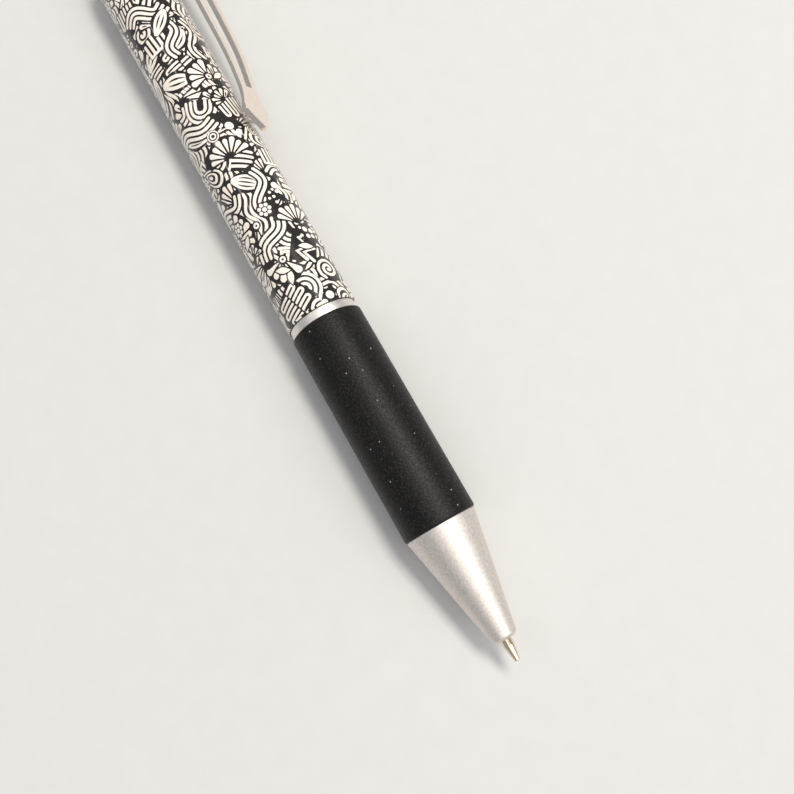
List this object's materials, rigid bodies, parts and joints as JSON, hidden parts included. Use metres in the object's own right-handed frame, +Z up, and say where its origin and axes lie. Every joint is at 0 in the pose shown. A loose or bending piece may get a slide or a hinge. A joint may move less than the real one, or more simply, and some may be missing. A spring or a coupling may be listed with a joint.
{
  "type": "retractable gel pen",
  "caption": "Retractable gel pen with a printed barrel, rubber grip, metal nose cone, slotted spring clip and a click refill mechanism.",
  "frame": {"origin": "on the pen's axis, half way along the rubber grip", "axes": "+X along the pen from the writing tip to the push button, +Z up as the pen lies on its side, with the clip on the -Y side and raised 30 degrees"},
  "size_m": [0.142, 0.0171, 0.0142],
  "materials": {
    "nose_metal": "satin, fine grain",
    "ring_metal": "satin",
    "cap_metal": "satin",
    "button_metal": "satin",
    "clip_steel": "polished",
    "grip_rubber": "matte",
    "barrel_lacquer": "gloss black with a cream print",
    "core_plastic": "moulded",
    "guide_plastic": "moulded",
    "cam_plastic": "moulded acetal",
    "spring_steel": "drawn wire",
    "ball_carbide": "polished carbide",
    "tip_alloy": "turned nickel silver",
    "holder_plastic": "moulded",
    "tube_plastic": "clear extruded tube",
    "ink": "wet black gel",
    "follower_grease": "clear yellowish grease"
  },
  "bodies": {
    "barrel_body": {"barrel": "barrel_lacquer", "cam_guide": "guide_plastic", "top_cap": "cap_metal"},
    "front_ring": {"trim_ring": "ring_metal"},
    "front_section": {"nose_cone": "nose_metal", "grip_core": "core_plastic", "grip_sleeve": "grip_rubber"},
    "button": {"push_button": "button_metal", "plunger_cam": "cam_plastic"},
    "refill": {"refill_tube": "tube_plastic", "ink": "ink", "ink_follower": "follower_grease", "refill_tail": "holder_plastic", "tip_holder": "holder_plastic", "tip_body": "tip_alloy", "tip_spring": "spring_steel", "return_spring": "spring_steel"},
    "rotor": {"rotor_cam": "cam_plastic"},
    "ball": {"tip_ball": "ball_carbide"},
    "clip": {"clip": "clip_steel"}
  },
  "joints": [
    {"name": "button_press", "type": "slide", "parent": "barrel_body", "child": "button", "axis": [1, 0, 0], "range_m": [-0.001, 0.0055]},
    {"name": "refill_slide", "type": "slide", "parent": "barrel_body", "child": "refill", "axis": [1, 0, 0], "range_m": [-0.00101, 0.00551], "deforming": ["return_spring"]},
    {"name": "rotor_turn", "type": "hinge", "parent": "refill", "child": "rotor", "pos_m": [0.0743, 0, 0], "axis": [1, 0, 0], "range_deg": [-9, 46]},
    {"name": "ball_roll", "type": "hinge", "parent": "refill", "child": "ball", "pos_m": [-0.04035, 0, 0], "axis": [0, 1, 0], "continuous": true},
    {"name": "front_advance", "type": "slide", "parent": "barrel_body", "child": "front_ring", "axis": [-1, 0, 0], "range_m": [0, 0.008]},
    {"name": "front_turn", "type": "hinge", "parent": "front_ring", "child": "front_section", "pos_m": [0.0193, 0, 0], "axis": [-1, 0, 0], "range_deg": [0, 2881]},
    {"name": "clip_flex", "type": "hinge", "parent": "barrel_body", "child": "clip", "pos_m": [0.09092, -0.00485, 0.0028], "axis": [0, 0.5, 0.866], "range_deg": [0, 4], "stiffness_Nm_per_rad": 0.1, "springref_deg": -2.86}
  ],
  "couplings": [
    {"joint": "refill_slide", "follows": "button_press", "ratio": 1},
    {"joint": "rotor_turn", "follows": "button_press", "rad_per_m": 142.8},
    {"joint": "front_turn", "follows": "front_advance", "rad_per_m": 6283.2}
  ]
}
